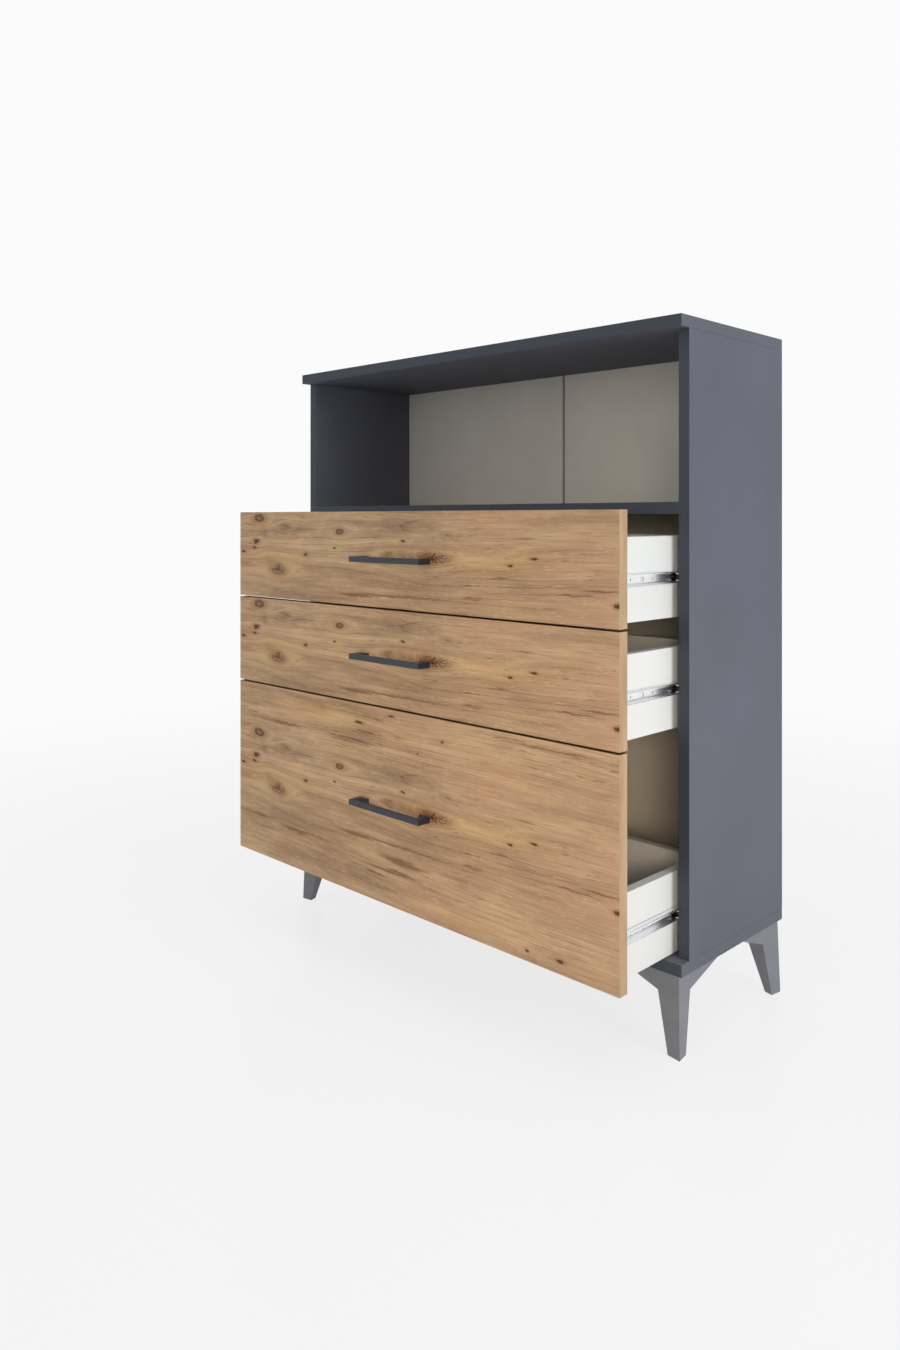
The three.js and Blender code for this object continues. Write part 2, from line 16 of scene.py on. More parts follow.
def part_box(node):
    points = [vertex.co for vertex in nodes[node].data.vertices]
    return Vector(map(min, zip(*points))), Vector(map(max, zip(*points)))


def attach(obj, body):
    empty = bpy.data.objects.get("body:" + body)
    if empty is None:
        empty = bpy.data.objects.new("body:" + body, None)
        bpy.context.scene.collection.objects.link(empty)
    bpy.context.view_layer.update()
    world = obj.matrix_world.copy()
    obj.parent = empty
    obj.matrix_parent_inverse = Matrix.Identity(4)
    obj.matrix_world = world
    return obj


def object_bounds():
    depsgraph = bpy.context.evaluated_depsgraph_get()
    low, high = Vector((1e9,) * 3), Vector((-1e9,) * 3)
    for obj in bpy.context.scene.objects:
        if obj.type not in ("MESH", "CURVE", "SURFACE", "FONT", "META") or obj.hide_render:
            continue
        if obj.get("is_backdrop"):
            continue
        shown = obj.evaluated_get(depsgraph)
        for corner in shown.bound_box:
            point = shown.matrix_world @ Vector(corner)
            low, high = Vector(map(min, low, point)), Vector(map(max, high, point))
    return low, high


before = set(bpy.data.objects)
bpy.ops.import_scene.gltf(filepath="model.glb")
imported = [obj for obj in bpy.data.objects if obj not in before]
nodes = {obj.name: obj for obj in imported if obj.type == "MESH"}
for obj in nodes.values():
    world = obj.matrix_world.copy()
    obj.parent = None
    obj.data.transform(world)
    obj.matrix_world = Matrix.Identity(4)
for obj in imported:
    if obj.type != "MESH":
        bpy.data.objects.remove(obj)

cad_low, cad_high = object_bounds()
scene = bpy.context.scene
scene.view_settings.view_transform = "Standard"

# %% [markdown]
# ## The camera
# The picture was taken from the right, at 45 degrees, with the lens just lower than the niche shelf.
# All upright edges of the chest stay upright in it, so the camera looks level and the picture is
# moved with the lens shift, as an architect's camera does. The numbers come from a fit of the
# board edges, so they are written down rather than found by eye.

# %% Place the camera
lens_data = bpy.data.cameras.new("studio_camera")
lens_data.lens = 26.98
lens_data.sensor_width = 36
lens_data.shift_y = -0.1158
camera = bpy.data.objects.new("studio_camera", lens_data)
camera.location = (1.239864, -1.33109, 0.7825)
camera.rotation_euler = (math.radians(90), 0, math.radians(44.8425))
scene.collection.objects.link(camera)
scene.camera = camera
print("camera height:", camera.location.z)

# %% [markdown]
# ## Small tools for node materials
# A node material is a graph. Written out node by node it would be long and hard to follow, so a
# few short helpers keep the recipes readable: one makes a material with its shader, one adds a
# node and fills its sockets, and the others are the steps that every recipe below repeats, such
# as a sum, a colour ramp or a blend of two colours. A socket may be given a plain value or the
# output of another node. A value that is the same all over a surface is set on the shader's own
# socket, which is also how it survives an export.

# %% Start a finish and add nodes to it
def new_finish(name):
    material = bpy.data.materials.new(name)
    material.use_nodes = True
    tree = material.node_tree
    tree.nodes.clear()
    shader = tree.nodes.new("ShaderNodeBsdfPrincipled")
    out = tree.nodes.new("ShaderNodeOutputMaterial")
    tree.links.new(shader.outputs["BSDF"], out.inputs["Surface"])
    return material, tree, shader


def plug(tree, socket, value):
    if isinstance(value, bpy.types.NodeSocket):
        tree.links.new(value, socket)
    else:
        socket.default_value = value


def add(tree, kind, settings=None, **sockets):
    """Add a node. Sockets are named, or numbered as s0, s1 and so on."""
    node = tree.nodes.new("ShaderNode" + kind)
    for name, value in (settings or {}).items():
        setattr(node, name, value)
    for name, value in sockets.items():
        key = int(name[1:]) if name[0] == "s" and name[1:].isdigit() else name
        plug(tree, node.inputs[key], value)
    return node


print("node helpers ready")

# %% Sums, ramps and blends
def calc(tree, operation, *values):
    node = tree.nodes.new("ShaderNodeMath")
    node.operation = operation
    for socket, value in zip(node.inputs, values):
        plug(tree, socket, value)
    return node.outputs[0]


def span(tree, value, low, high, to_low=0.0, to_high=1.0):
    """Ease from to_low to to_high while the value goes from low to high."""
    node = add(tree, "MapRange", {"interpolation_type": "SMOOTHSTEP"})
    for socket, number in zip(node.inputs, (value, low, high, to_low, to_high)):
        plug(tree, socket, number)
    return node.outputs[0]


def ramp(tree, factor, stops):
    node = add(tree, "ValToRGB", Fac=factor)
    elements = node.color_ramp.elements
    for place, _ in stops[2:]:
        elements.new(place)
    for element, (place, colour) in zip(elements, sorted(stops)):
        element.position = place
        element.color = (*colour, 1)
    return node.outputs[0]


def blend(tree, factor, first, second, how="MIX"):
    node = add(tree, "Mix", {"data_type": "RGBA", "blend_type": how}, s0=factor)
    for socket, value in ((node.inputs[6], first), (node.inputs[7], second)):
        plug(tree, socket, value if isinstance(value, bpy.types.NodeSocket) else (*value, 1))
    return node.outputs[2]


def tones(tree, factor, *colours):
    """A ramp through the colours, evenly from 0.3 to 0.7, where most of a noise's values lie."""
    step = 0.4 / (len(colours) - 1)
    return ramp(tree, factor, [(0.3 + number * step, colour) for number, colour in enumerate(colours)])


def srgb(red, green, blue):
    """A colour as a paint chart gives it, in the plain light values that a shader wants."""
    def light(value):
        value /= 255
        return value / 12.92 if value <= 0.04045 else ((value + 0.055) / 1.055) ** 2.4
    return light(red), light(green), light(blue)


print("anthracite in light values:", [round(value, 3) for value in srgb(94, 97, 107)])

# %% [markdown]
# Every finish needs to know where on the solid it is. The object's own coordinates are in metres
# and stay with the piece when a drawer moves, which a coordinate of the room would not. The
# object's normal tells the faces of a board from its edges. Noise gives the unevenness, drawn
# out along any axis by its own number of cycles per metre. A recipe ends by coating its shader
# with a colour and a dullness, and by a bump that is a few hundredths of a millimetre deep.

# %% Places and noise
def whereabouts(tree):
    node = add(tree, "TexCoord")
    return node.outputs["Object"], node.outputs["Normal"]


def parts_of(tree, vector):
    return add(tree, "SeparateXYZ", s0=vector).outputs


def noise(tree, place, cycles, shift=0.0, detail=3.0, rough=0.55):
    moved = add(tree, "VectorMath", {"operation": "MULTIPLY_ADD"},
                s0=place, s1=cycles, s2=(shift, shift * 0.37, shift * 1.7))
    return add(tree, "TexNoise", Vector=moved.outputs[0], Scale=1.0, Detail=detail,
               Roughness=rough).outputs["Fac"]


def bump(tree, shader, height, depth, strength):
    node = add(tree, "Bump", Strength=strength, Distance=depth, Height=height)
    plug(tree, shader.inputs["Normal"], node.outputs[0])


def coat(tree, shader, colour, dullness, shine=0.5, metal=0.0):
    """Fill the shader: its colour, how dull it is, how strongly it mirrors, how metallic it is."""
    for socket, value in (("Base Color", colour), ("Roughness", dullness),
                          ("Specular IOR Level", shine), ("Metallic", metal)):
        plug(tree, shader.inputs[socket], value)


def facing(tree, value, side=1):
    """1 on the faces that look along the axis whose normal part is given, 0 elsewhere."""
    return span(tree, calc(tree, "MULTIPLY", value, side), 0.6, 0.8)


print("surface helpers ready")

# %% [markdown]
# ## The room
# The chest stands on a glossy white floor that runs into a white wall without an edge. The floor
# is pale by its colour. Where only the camera or a reflection looks at it, a share of plain white
# is mixed in, more with the distance, so it fades into the background and still keeps the chest's
# shadow.

# %% Build the floor
FLOOR_HALF = 12
PAPER = (0.965, 0.965, 0.97)
FADE_START = 0.7
FADE_END = 3.0
floor_mesh = bpy.data.meshes.new("floor")
floor_mesh.from_pydata(
    [(x * FLOOR_HALF, y * FLOOR_HALF, 0) for x, y in ((-1, -1), (1, -1), (1, 1), (-1, 1))],
    [], [(0, 1, 2, 3)])
floor = bpy.data.objects.new("floor", floor_mesh)
scene.collection.objects.link(floor)
floor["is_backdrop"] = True


def seen_only(tree):
    """1 where the camera, a reflection or a look through glass meets the surface."""
    path = add(tree, "LightPath").outputs
    looked_at = calc(tree, "MAXIMUM", path["Is Camera Ray"], path["Is Transmission Ray"])
    return calc(tree, "MAXIMUM", looked_at, path["Is Glossy Ray"])


floor_paint, tree, shader = new_finish("floor_paint")
coat(tree, shader, (0.86, 0.86, 0.865, 1), 0.22, shine=0.35)
place = add(tree, "NewGeometry").outputs["Position"]
distance = add(tree, "VectorMath", {"operation": "LENGTH"}, s0=place).outputs["Value"]
whitened = calc(tree, "MULTIPLY", span(tree, distance, FADE_START, FADE_END, 0.8, 1.0), seen_only(tree))
white = add(tree, "Emission", Color=(*PAPER, 1), Strength=1.0)
mixed = add(tree, "MixShader", s0=whitened, s1=shader.outputs[0], s2=white.outputs[0])
plug(tree, tree.nodes["Material Output"].inputs["Surface"], mixed.outputs[0])
floor_mesh.materials.append(floor_paint)
print("floor:", 2 * FLOOR_HALF, "m square")

# %% [markdown]
# Five soft lamps light the chest, as a photographer would set them. A tall one on the right lights
# the side panel and the drawers' sides, a wide one in front lights the oak, and one hangs overhead.
# The open drawers hide the inside of the chest from these, so a far lamp on the left shines in
# behind the fronts, and a small one near the camera lights what the camera sees between the
# drawers. A honeycomb grid narrows the beam of that small one, here by the spread angle, and keeps
# it off the dark niche. The light between the drawers has come off the oak and is browner than the
# rest, so these two lamps get a warm tint. A lamp can show up as a mirror image in bright zinc or
# satin paint and wash it out, so all but the overhead one are kept out of reflections.

# %% Hang the lights
WARM = (1.0, 0.85, 0.69)
WARMER = (1.0, 0.78, 0.58)


def soft_light(name, place, aim, width, height, watts, tint=(1, 1, 1), spread=180, mirrored=False):
    data = bpy.data.lights.new(name, "AREA")
    data.shape = "RECTANGLE"
    data.size, data.size_y = width, height
    data.energy = watts
    data.color = tint
    data.spread = math.radians(spread)
    lamp = bpy.data.objects.new(name, data)
    lamp.location = place
    lamp.rotation_euler = (Vector(aim) - Vector(place)).to_track_quat("-Z", "Y").to_euler()
    lamp.visible_camera = False
    lamp.visible_glossy = mirrored
    scene.collection.objects.link(lamp)


soft_light("right_light", (3.6, -0.2, 1.2), (0.45, 0.1, 0.6), 1.3, 2.4, 58)
soft_light("front_light", (0.7, -5.4, 1.5), (0, 0, 0.7), 3.4, 2.6, 25)
soft_light("near_light", (2.1, -2.2, 0.95), (0.3, -0.1, 0.35), 0.6, 0.6, 0.95, WARMER, 30)
soft_light("left_light", (-6.4, -2.0, 0.9), (-0.3, -0.1, 0.5), 3.2, 2.2, 190, WARM)
soft_light("top_light", (0.4, -0.4, 3.4), (0.2, -0.2, 0), 3.0, 3.0, 34, mirrored=True)

# %% [markdown]
# The air of the room gives a cool light from all sides. Looked at directly, in a mirror or through
# glass, the room is white paper instead, so the background is white and doesn't light the chest.

# %% Fill the room with air
world = bpy.data.worlds.new("studio_air")
world.use_nodes = True
scene.world = world
tree = world.node_tree
tree.nodes.clear()
air = add(tree, "Background", Color=(0.9, 0.93, 1.0, 1), Strength=0.36)
paper = add(tree, "Background", Color=(*PAPER, 1), Strength=1.0)
both = add(tree, "MixShader", s0=seen_only(tree), s1=air.outputs[0], s2=paper.outputs[0])
add(tree, "OutputWorld", Surface=both.outputs[0])
print("air strength:", air.inputs["Strength"].default_value)

# %% [markdown]
# ## The oak decor of the fronts
# The fronts are chipboard under a printed sheet that shows knotty oak, with the grain across the
# front. All three carry the same print, each one centred on its own middle, so the small fronts
# show the middle of what the deep front shows whole. A photograph of oak wrapped on the boards
# would be the usual way. Here the print is drawn by nodes instead, so it stays sharp at any size:
# long noise for the boards' tones, fine noise for the fibres, and knots at chosen places. The
# grain has to flow round each knot, so every knot also pulls the grain's height towards itself.

# %% Where the knots of the print lie
# Millimetres from the middle of the front: along it, up it, half width, half height.
RING_KNOTS = [(-384, 69, 17, 7.5), (-142, 45.5, 12, 5.5)]
DARK_KNOTS = [
    (-393, 25, 10, 4.5), (-399, 12.5, 6, 2.6), (-437, 4.4, 6, 2.4), (-239, 3.2, 5.5, 2.6),
    (-156, 17, 4, 1.6), (21, 31, 6, 2), (255, -1, 4.5, 2.2), (301, 9.7, 7, 2), (447, -50, 7, 3.2),
    (-8, 151, 7, 2), (-89, 130, 10, 2.4), (56, 100, 2.6, 1.6), (113, 127, 4, 1.8),
    (348, -144, 7, 2.6), (287, -146, 4, 2),
]
CRACKED_KNOTS = [(-323, -26, 20, 10), (92, 5, 32, 8)]
FAINT_KNOTS = [(-350, -10, 14, 6), (10, 6, 34, 9), (-303, 52, 14, 7), (-378, -88, 12, 4)]
print("knots:", len(RING_KNOTS + DARK_KNOTS + CRACKED_KNOTS + FAINT_KNOTS))

# %% Where its marks and patches lie
# The same four numbers for each, in millimetres.
DARK_STREAKS = [
    (-96, -62.6, 46, 4.2), (175, -54, 20, 2.4), (-72, 116, 26, 3.4), (-49, -117, 28, 2.6),
    (22, -85, 52, 6), (-8, -104, 56, 4), (-245, -93, 70, 4), (-395, -85, 60, 3.6),
    (-110, 97, 60, 5), (-310, 98, 80, 3), (375, -39, 36, 1.5), (425, -31, 34, 1.5),
    (330, 150, 70, 2.4), (20, -60, 120, 2),
]
ARCHES = (205, 55, 100, 9)
GREY_PATCHES = [
    (-280, 52, 210, 27), (-10, 56, 110, 26), (110, 52, 90, 28), (-150, -140, 200, 24),
    (-330, -72, 150, 16),
]
SMOKE_MARKS = [
    (-303, 53, 34, 10), (-372, 42, 20, 20), (-404, 56, 14, 18), (20, 58, 60, 11), (120, 40, 50, 9),
    (-30, -138, 90, 8), (60, 4, 60, 7),
]
RED_PATCHES = [
    (-410, 60, 40, 30), (40, 13, 80, 9), (10, 12, 60, 7), (190, 72, 60, 25), (250, 95, 80, 20),
    (120, -140, 130, 20), (20, 118, 60, 14),
]
GOLD_PATCHES = [(200, 5, 170, 16), (-330, -10, 120, 22), (-200, 130, 180, 22)]
print("streaks:", len(DARK_STREAKS))

# %% [markdown]
# A knot is an ellipse in the grain. The node group below takes a place on the board and gives back
# two things: how far that place is from the knot's middle, counted in knot sizes, and how much the
# knot pulls the grain. A group is written once and used for every knot, mark and patch.

# %% A spot in the grain
PULL_FADE = -0.22


def spot_group():
    group = bpy.data.node_groups.new("spot_in_the_grain", "ShaderNodeTree")
    for name in ("Place", "Middle", "Size"):
        group.interface.new_socket(name, in_out="INPUT", socket_type="NodeSocketVector")
    for name in ("Distance", "Pull"):
        group.interface.new_socket(name, in_out="OUTPUT", socket_type="NodeSocketFloat")
    given = group.nodes.new("NodeGroupInput").outputs
    result = group.nodes.new("NodeGroupOutput").inputs
    away = add(group, "VectorMath", {"operation": "SUBTRACT"}, s0=given[0], s1=given[1]).outputs[0]
    sized = add(group, "VectorMath", {"operation": "DIVIDE"}, s0=away, s1=given[2]).outputs[0]
    distance = add(group, "VectorMath", {"operation": "LENGTH"}, s0=sized).outputs["Value"]
    squared = calc(group, "MULTIPLY", distance, distance)
    fade = calc(group, "EXPONENT", calc(group, "MULTIPLY", squared, PULL_FADE))
    group.links.new(distance, result[0])
    group.links.new(calc(group, "MULTIPLY", parts_of(group, away)[2], fade), result[1])
    return group


SPOT = spot_group()
print("sockets of a spot:", [socket.name for socket in SPOT.interface.items_tree])

# %% Use it for many spots
MILLIMETRE = 0.001


def spots(tree, place, chosen):
    for along, up, half_width, half_height in chosen:
        node = tree.nodes.new("ShaderNodeGroup")
        node.node_tree = SPOT
        plug(tree, node.inputs["Place"], place)
        node.inputs["Middle"].default_value = (along * MILLIMETRE, 0, up * MILLIMETRE)
        node.inputs["Size"].default_value = (half_width * MILLIMETRE, 1, half_height * MILLIMETRE)
        yield node.outputs


def nearest(tree, place, chosen):
    """The distance to the nearest of the chosen spots, and the pull of them all."""
    closest = pull = None
    for spot in spots(tree, place, chosen):
        closest = calc(tree, "MINIMUM", closest, spot[0]) if closest else spot[0]
        pull = calc(tree, "ADD", pull, spot[1]) if pull else spot[1]
    return closest, pull


PATCH_COVER = 0.45


def patches(tree, place, chosen):
    """How much a tint covers the place: PATCH_COVER at a patch's middle, fading outwards."""
    closest, _ = nearest(tree, place, chosen)
    return span(tree, closest, 1.35, 0.0, 0.0, PATCH_COVER)


print("cover at the middle of a patch:", PATCH_COVER)

# %% [markdown]
# The recipe has an order, as a painter's has: first the ground tones, then the patches, the
# fibres, the growth lines and the short dark pores. The pointed arches of a board cut near the
# heart follow, as rings of one wide spot. Last come the ragged dark streaks and the knots. Some
# knots have dried and split, and the split lines are the cell borders of Voronoi noise. The place
# is shaken a little before spots are drawn, because neither a knot nor a patch has a clean outline.

# %% Ground tones and fibres
FIBRES = 560


def oak_ground(tree, grain, shaken):
    boards = noise(tree, grain, (1.3, 1, 16), 1.0)
    bands = noise(tree, grain, (2.8, 1, 74), 5.0, 4.0, 0.62)
    both = calc(tree, "MULTIPLY_ADD", bands, 0.5, calc(tree, "MULTIPLY", boards, 0.5))
    colour = ramp(tree, both, [
        (0.33, srgb(144, 115, 86)), (0.43, srgb(169, 138, 105)), (0.50, srgb(185, 155, 119)),
        (0.57, srgb(197, 167, 129)), (0.67, srgb(207, 179, 141))])
    calm = span(tree, parts_of(tree, shaken)[0], -0.12, 0.26, 0.0, 0.45)
    colour = blend(tree, calm, colour, srgb(178, 149, 117))
    drift = span(tree, noise(tree, grain, (13, 1, 60), 61.0, 4.0, 0.6), 0.36, 0.62, 0.3, 1.9)
    grey = calc(tree, "MULTIPLY", patches(tree, shaken, GREY_PATCHES), drift)
    colour = blend(tree, grey, colour, srgb(147, 123, 95))
    smoke = span(tree, noise(tree, shaken, (26, 1, 80), 66.0, 3.0, 0.6), 0.38, 0.6, 0.1, 1.5)
    marked = calc(tree, "MULTIPLY", patches(tree, shaken, SMOKE_MARKS), smoke)
    colour = blend(tree, marked, colour, srgb(132, 105, 78))
    colour = blend(tree, patches(tree, shaken, RED_PATCHES), colour, srgb(193, 148, 111))
    colour = blend(tree, patches(tree, shaken, GOLD_PATCHES), colour, srgb(218, 181, 122))
    hue = noise(tree, grain, (4, 1, 21), 71.0, 3.0, 0.55)
    colour = blend(tree, span(tree, hue, 0.52, 0.66, 0.0, 0.35), colour, srgb(197, 158, 127))
    colour = blend(tree, span(tree, hue, 0.46, 0.34, 0.0, 0.35), colour, srgb(206, 175, 130))
    clouds = tones(tree, noise(tree, grain, (11, 1, 44), 51.0, 4.0, 0.6),
                   srgb(160, 160, 166), srgb(188, 188, 188), srgb(214, 212, 206))
    colour = blend(tree, 0.6, colour, clouds, "SOFT_LIGHT")
    fibres = ramp(tree, noise(tree, grain, (11, 1, FIBRES), 8.0, 3.0, 0.7), [
        (0.25, srgb(104, 104, 104)), (0.5, srgb(188, 188, 188)), (0.75, srgb(236, 236, 236))])
    return blend(tree, 0.5, colour, fibres, "SOFT_LIGHT")


print("fibres per metre:", FIBRES)

# %% Growth lines and pores
GROWTH_LINES = 105.0


def oak_lines(tree, colour, grain, bent, centred):
    waver = calc(tree, "MULTIPLY", noise(tree, grain, (1.1, 1, 7), 14.0, 1.0, 0.5), 7.0)
    contour = calc(tree, "PINGPONG", calc(tree, "MULTIPLY_ADD", bent, GROWTH_LINES, waver), 0.5)
    line = span(tree, contour, 0.10, 0.0)
    some = span(tree, noise(tree, centred, (2, 1, 18), 21.0, 2.0, 0.5), 0.42, 0.6)
    broken = span(tree, noise(tree, centred, (30, 1, 200), 25.0, 2.0, 0.5), 0.38, 0.6, 0.2, 1.0)
    strength = calc(tree, "MULTIPLY", calc(tree, "MULTIPLY", line, some), broken)
    colour = blend(tree, calc(tree, "MULTIPLY", strength, 0.55), colour, srgb(112, 74, 42))
    pore = span(tree, noise(tree, grain, (22, 1, 300), 31.0, 2.0, 0.6), 0.61, 0.72)
    some = span(tree, noise(tree, centred, (3, 1, 20), 41.0, 2.0, 0.5), 0.42, 0.66)
    strength = calc(tree, "MULTIPLY", calc(tree, "MULTIPLY", pore, some), 0.7)
    colour = blend(tree, strength, colour, srgb(92, 58, 32))
    mark = span(tree, noise(tree, grain, (7, 1, 240), 81.0, 3.0, 0.65), 0.61, 0.72, 0.0, 0.5)
    colour = blend(tree, mark, colour, srgb(126, 86, 54))
    tick = span(tree, noise(tree, grain, (60, 1, 420), 91.0, 1.0, 0.5), 0.64, 0.72, 0.0, 0.3)
    return blend(tree, tick, colour, srgb(224, 194, 152))


def oak_arches(tree, colour, shaken, centred):
    """The pointed growth lines of a board cut near the heart, open to the right."""
    away, _ = nearest(tree, shaken, [ARCHES])
    line = span(tree, calc(tree, "PINGPONG", calc(tree, "MULTIPLY", away, 1.6), 0.5), 0.12, 0.0)
    left_end = span(tree, parts_of(tree, centred)[0], 0.13, 0.02)
    near = calc(tree, "MULTIPLY", span(tree, away, 2.6, 1.9, 0.0, 0.5), left_end)
    return blend(tree, calc(tree, "MULTIPLY", line, near), colour, srgb(104, 72, 44))


print("growth lines per metre:", GROWTH_LINES)

# %% Dark streaks and knots
def oak_streaks(tree, colour, grain, shaken):
    closest, _ = nearest(tree, shaken, DARK_STREAKS)
    ragged = span(tree, noise(tree, grain, (15, 1, 320), 17.0, 4.0, 0.65), 0.32, 0.54)
    strength = calc(tree, "MULTIPLY", span(tree, closest, 1.5, 0.5), ragged)
    return blend(tree, calc(tree, "MULTIPLY", strength, 0.78), colour, srgb(113, 75, 46))


def faint_knots(tree, colour, away):
    colour = blend(tree, span(tree, away, 1.7, 0.3, 0.0, 0.3), colour, srgb(128, 92, 60))
    rings = span(tree, calc(tree, "PINGPONG", calc(tree, "MULTIPLY", away, 2.4), 0.5), 0.16, 0.0)
    strength = calc(tree, "MULTIPLY", rings, span(tree, away, 1.6, 0.6, 0.0, 0.4))
    return blend(tree, strength, colour, srgb(98, 64, 36))


def solid_knots(tree, colour, away, heart_stops):
    colour = blend(tree, span(tree, away, 2.4, 0.8, 0.0, 0.45), colour, srgb(140, 98, 60))
    heart = ramp(tree, away, heart_stops)
    return blend(tree, span(tree, away, 1.15, 0.75, 0.0, 0.9), colour, heart)


def cracked_knots(tree, colour, away, shaken):
    colour = blend(tree, span(tree, away, 2.4, 0.8, 0.0, 0.45), colour, srgb(140, 98, 60))
    inside = span(tree, away, 1.5, 0.6)
    colour = blend(tree, calc(tree, "MULTIPLY", inside, 0.45), colour, srgb(148, 112, 84))
    cells = add(tree, "VectorMath", {"operation": "MULTIPLY"}, s0=shaken, s1=(90, 1, 260)).outputs[0]
    split = add(tree, "TexVoronoi", {"feature": "DISTANCE_TO_EDGE"}, Vector=cells, Scale=1.0,
                Randomness=1.0).outputs["Distance"]
    crack = calc(tree, "MULTIPLY", span(tree, split, 0.12, 0.03), inside)
    colour = blend(tree, crack, colour, srgb(74, 42, 22))
    return blend(tree, span(tree, away, 0.6, 0.15, 0.0, 0.6), colour, srgb(84, 52, 32))


RING_HEART = [(0.0, srgb(84, 56, 34)), (0.2, srgb(138, 106, 74)), (0.45, srgb(124, 92, 62)),
              (0.66, srgb(82, 50, 28)), (0.8, srgb(74, 44, 24)), (0.95, srgb(118, 82, 50))]
DARK_HEART = [(0.0, srgb(46, 25, 12)), (0.6, srgb(72, 41, 20)), (1.0, srgb(104, 68, 40))]
print("tones of a ringed knot:", len(RING_HEART), "of a dark one:", len(DARK_HEART))

# %% [markdown]
# The ends of the fronts are closed by a glued band. It is paler than the print and its lines run
# upright, along the band. The long edges are painted dull dark brown. This is painted shade: it
# stands in for the shadow in the narrow gaps between the fronts. The object's normal tells these
# faces from the rest. The bump is kept apart from the colour and uses plain noise only, because a
# bump asks for its height three times and would make the whole knot graph run three times over.

# %% Shake and bend the place
SHAKE_ALONG = 0.012
SHAKE_UP = 0.006
SLOW_BEND = 0.030
QUICK_BEND = 0.003


def shaken_place(tree, along, up, centred):
    """The place moved to and fro by half of each shake, so that no outline comes out clean."""
    moved = []
    for value, shake, cycles, shift in ((along, SHAKE_ALONG, 70, 2.0), (up, SHAKE_UP, 90, 12.0)):
        wobble = noise(tree, centred, (70, 1, cycles), shift, 3.0, 0.6)
        moved.append(calc(tree, "MULTIPLY_ADD", wobble, shake, calc(tree, "SUBTRACT", value, shake / 2)))
    return add(tree, "CombineXYZ", X=moved[0], Z=moved[1]).outputs[0]


def bent_height(tree, up, centred, pull):
    """The height with the grain's slow and quick bends in it, and the pull of the knots."""
    slow = noise(tree, centred, (1.6, 1, 5), 3.1, 2.0, 0.5)
    quick = noise(tree, centred, (7, 1, 26), 9.1, 2.0, 0.5)
    bent = calc(tree, "SUBTRACT", calc(tree, "MULTIPLY_ADD", slow, SLOW_BEND, up), pull)
    return calc(tree, "MULTIPLY_ADD", quick, QUICK_BEND, bent)


print("shaken by up to", SHAKE_ALONG / 2 / MILLIMETRE, "mm along and", SHAKE_UP / 2 / MILLIMETRE, "mm up")

# %% The oak print on one front
def oak_front(name, middle):
    material, tree, shader = new_finish(name)
    place, normal = whereabouts(tree)
    along, _, up = parts_of(tree, place)[:3]
    up = calc(tree, "SUBTRACT", up, middle)
    centred = add(tree, "CombineXYZ", X=along, Z=up).outputs[0]
    shaken = shaken_place(tree, along, up, centred)
    rings, pull = nearest(tree, shaken, RING_KNOTS)
    knots = []
    for chosen in (DARK_KNOTS, CRACKED_KNOTS, FAINT_KNOTS):
        closest, more = nearest(tree, shaken, chosen)
        knots.append(closest)
        pull = calc(tree, "ADD", pull, more)
    bent = bent_height(tree, up, centred, pull)
    grain = add(tree, "CombineXYZ", X=along, Z=bent).outputs[0]
    colour = oak_ground(tree, grain, shaken)
    colour = oak_lines(tree, colour, grain, bent, centred)
    colour = oak_arches(tree, colour, shaken, centred)
    colour = oak_streaks(tree, colour, grain, shaken)
    colour = faint_knots(tree, colour, knots[2])
    colour = solid_knots(tree, colour, rings, RING_HEART)
    colour = solid_knots(tree, colour, knots[0], DARK_HEART)
    colour = cracked_knots(tree, colour, knots[1], shaken)
    band = tones(tree, noise(tree, place, (330, 60, 9), 4.0),
                 srgb(160, 134, 104), srgb(174, 147, 115), srgb(184, 158, 127))
    end_face = facing(tree, calc(tree, "ABSOLUTE", parts_of(tree, normal)[0]))
    long_edge = facing(tree, calc(tree, "ABSOLUTE", parts_of(tree, normal)[2]))
    # Painted shade: the long edges are darkened to stand in for the shadow in the gaps between the fronts.
    colour = blend(tree, calc(tree, "MULTIPLY", long_edge, 0.88), colour, srgb(82, 54, 30))
    colour = blend(tree, end_face, colour, band)
    pores = noise(tree, centred, (40, 1, 900), 6.0, 3.0, 0.6)
    dullness = calc(tree, "MAXIMUM", span(tree, pores, 0.3, 0.7, 0.44, 0.58), long_edge)
    coat(tree, shader, colour, dullness, shine=0.25)
    bump(tree, shader, pores, 0.00012, 0.6)
    return material


DRAWERS = ("top", "middle", "bottom")
oak = {}
for drawer in DRAWERS:
    low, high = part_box(f"{drawer}_drawer_front")
    middle = (low[2] + high[2]) / 2
    oak[drawer] = oak_front(f"knotty_oak_{drawer}", middle)
    print(drawer, "front, middle at", round(middle, 4))

# %% [markdown]
# ## The anthracite boards
# The carcass is chipboard with a plain anthracite face, pressed with a fine matt grain. What
# tells it from flat paint is the way that grain breaks the light, and a very slow unevenness of
# tone. The faces are dull: a shinier board would mirror the pale back in the niche's dark ceiling.
# The maker bands only the edges that are seen. The faces that look forward get a darker tone:
# partly the band's own tone, partly painted shade for the dimmer light that reaches the front. The
# rear edges stay raw chipboard, so the same material shows chips there, as the cells of Voronoi noise.

# %% Chipboard, as a raw edge shows it
CHIPS = 420


def chipboard(tree, place):
    """The colour of the chips, and how far each place is from its chip's middle."""
    cells = add(tree, "TexVoronoi", Vector=place, Scale=CHIPS, Randomness=1.0).outputs
    shade = parts_of(tree, cells["Color"])[0]
    colour = ramp(tree, shade, [
        (0.0, srgb(120, 92, 62)), (0.35, srgb(158, 128, 92)), (0.7, srgb(180, 152, 114)),
        (1.0, srgb(200, 176, 140))])
    gaps = span(tree, cells["Distance"], 0.45, 0.8)
    return blend(tree, calc(tree, "MULTIPLY", gaps, 0.6), colour, srgb(92, 70, 48)), cells["Distance"]


print("chips across a metre:", CHIPS)

